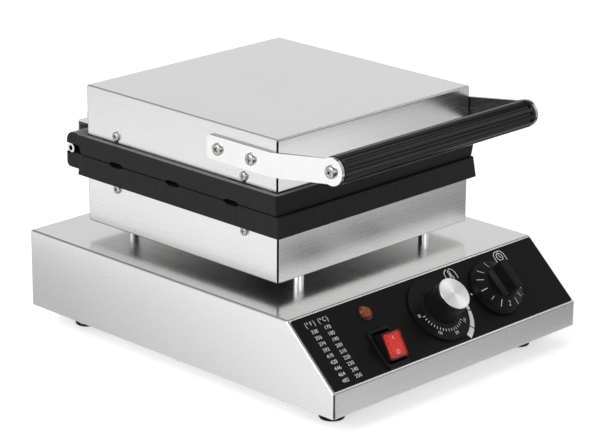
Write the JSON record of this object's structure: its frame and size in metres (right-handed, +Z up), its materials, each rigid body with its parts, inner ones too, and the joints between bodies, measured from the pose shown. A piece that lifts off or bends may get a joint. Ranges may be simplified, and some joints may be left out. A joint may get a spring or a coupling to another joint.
{
  "type": "commercial waffle maker",
  "caption": "Commercial waffle maker for stick waffles: base with sloped controls, cast lower plate on short posts, and a rear-hinged lid with a cast upper plate and a fluted front handle.",
  "frame": {"origin": "on the table, at the middle of the footprint of the whole machine, its lid closed", "axes": "+X to the user's right, +Y to the rear where the hinge and the cable entry are, +Z up; the control panel faces -Y"},
  "size_m": [0.315, 0.4072, 0.2296],
  "materials": {
    "stainless_sheet": "brushed stainless",
    "fasteners": "plated steel",
    "plain_steel": "satin",
    "polished_post": "polished",
    "black_rubber": "matt",
    "panel_overlay": "satin print film",
    "coated_casting": "cast, black non-stick coating, fine texture",
    "heater_sheath": "heat-tinted",
    "mineral_board": "fibrous",
    "control_body": "moulded",
    "knob_plastic": "satin moulded",
    "grip_plastic": "satin moulded, fluted",
    "spun_aluminium": "spun",
    "switch_plastic": "moulded",
    "red_lens": "gloss",
    "clear_boot": "clear flexible cover",
    "lamp_ring": "moulded",
    "amber_lens": "faceted, translucent",
    "terminal_plastic": "moulded",
    "gland_plastic": "moulded"
  },
  "bodies": {
    "base": {"base_housing": "stainless_sheet", "base_floor": "stainless_sheet", "floor_screws": "fasteners", "rubber_feet": "black_rubber", "foot_screws": "fasteners", "control_panel": "panel_overlay", "support_posts": "polished_post", "post_bolts": "fasteners", "post_nuts": "fasteners", "wire_tube": "plain_steel", "lower_housing": "stainless_sheet", "lower_plate": "coated_casting", "lower_heater": "heater_sheath", "lower_clamps": "plain_steel", "lower_clamp_screws": "fasteners", "lower_insulation": "mineral_board", "lower_housing_screws": "fasteners", "hinge_pins": "fasteners", "thermostat_body": "control_body", "thermostat_bulb": "plain_steel", "timer_body": "control_body", "switch_housing": "switch_plastic", "indicator_lamp": "lamp_ring", "indicator_lens": "amber_lens", "terminal_block": "terminal_plastic", "cord_gland": "gland_plastic"},
    "lid": {"upper_plate": "coated_casting", "upper_heater": "heater_sheath", "upper_clamps": "plain_steel", "upper_clamp_screws": "fasteners", "upper_insulation": "mineral_board", "lid_housing": "stainless_sheet", "lid_housing_screws": "fasteners", "rear_wire_cover": "stainless_sheet", "rear_cover_screws": "fasteners", "left_arm": "stainless_sheet", "right_arm": "stainless_sheet", "arm_screws": "fasteners", "arm_nuts": "fasteners", "handle_grip": "grip_plastic", "grip_rod": "plain_steel", "grip_screws": "fasteners"},
    "thermostat_dial": {"thermostat_knob": "knob_plastic", "thermostat_cap": "spun_aluminium", "thermostat_spindle": "plain_steel"},
    "timer_dial": {"timer_knob": "knob_plastic", "timer_spindle": "plain_steel"},
    "rocker": {"switch_rocker": "switch_plastic", "switch_lens": "red_lens", "switch_boot": "clear_boot"}
  },
  "joints": [
    {"name": "lid_hinge", "type": "hinge", "parent": "base", "child": "lid", "pos_m": [0, 0.16307, 0.166], "axis": [-1, 0, 0], "range_deg": [0, 95]},
    {"name": "thermostat_turn", "type": "hinge", "parent": "base", "child": "thermostat_dial", "pos_m": [0, -0.17298, 0.06565], "axis": [0, 0.6741, -0.7387], "range_deg": [0, 280]},
    {"name": "timer_turn", "type": "hinge", "parent": "base", "child": "timer_dial", "pos_m": [0.076, -0.17298, 0.06565], "axis": [0, 0.6741, -0.7387], "range_deg": [0, 300]},
    {"name": "rocker_tilt", "type": "hinge", "parent": "base", "child": "rocker", "pos_m": [-0.076, -0.18556, 0.0562], "axis": [-1, 0, 0], "range_deg": [0, 30]}
  ]
}
